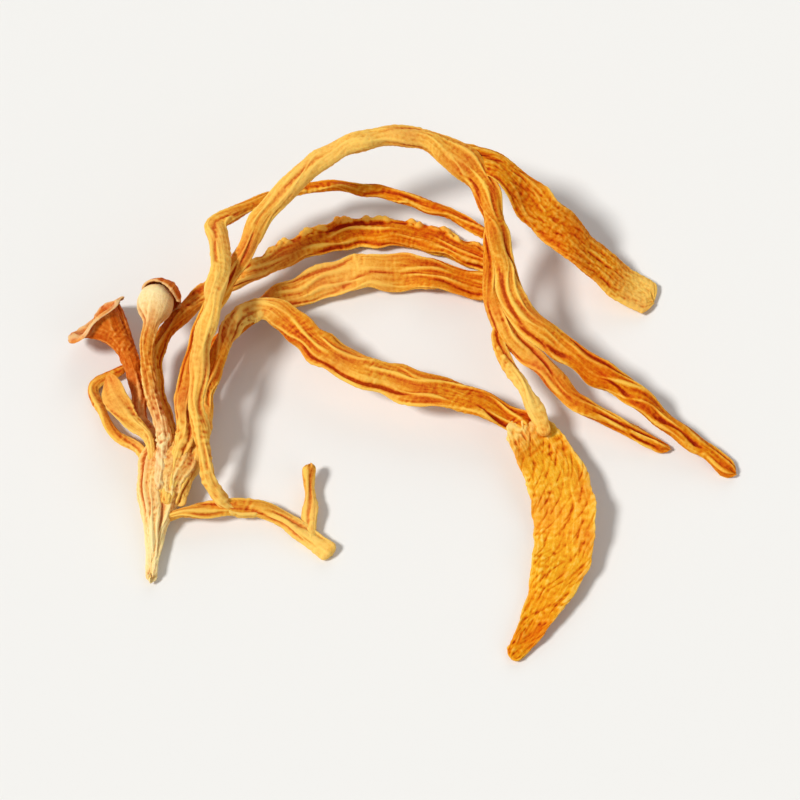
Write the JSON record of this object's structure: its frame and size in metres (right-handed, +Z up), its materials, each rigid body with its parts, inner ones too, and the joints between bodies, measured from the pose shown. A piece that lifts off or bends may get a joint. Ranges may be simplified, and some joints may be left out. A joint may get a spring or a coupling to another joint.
{
  "type": "dried cordyceps",
  "caption": "Branching tuft of dried orange cordyceps: ribbed, twisted stems grown from a shared pale foot, with an arched stem, broad blades, a curled fan head and a pale knob.",
  "frame": {"origin": "on the table, under the middle of the tuft's bounding box", "axes": "+X from the foot's side towards the far end of the longest stem, +Y from the foot up the stems, +Z up from the table"},
  "size_m": [0.0652, 0.0527, 0.0131],
  "materials": {
    "stem": "matte",
    "blade": "matte",
    "foot": "matte",
    "pale_tip": "matte",
    "brown_head": "matte"
  },
  "bodies": {
    "root": {"root_base": "foot", "stem_arch": "stem", "arch_tail": "stem", "tail_lower": "stem", "tail_twig": "pale_tip", "arch_blade": "blade", "stem_front": "stem", "front_blade": "blade", "stem_kinked": "stem", "stem_ribbon_upper": "stem", "stem_ribbon_lower": "stem", "stem_fan": "brown_head", "stem_knob": "pale_tip", "stem_loop": "stem", "stem_leaf": "stem", "stem_hooked": "stem"}
  },
  "joints": []
}
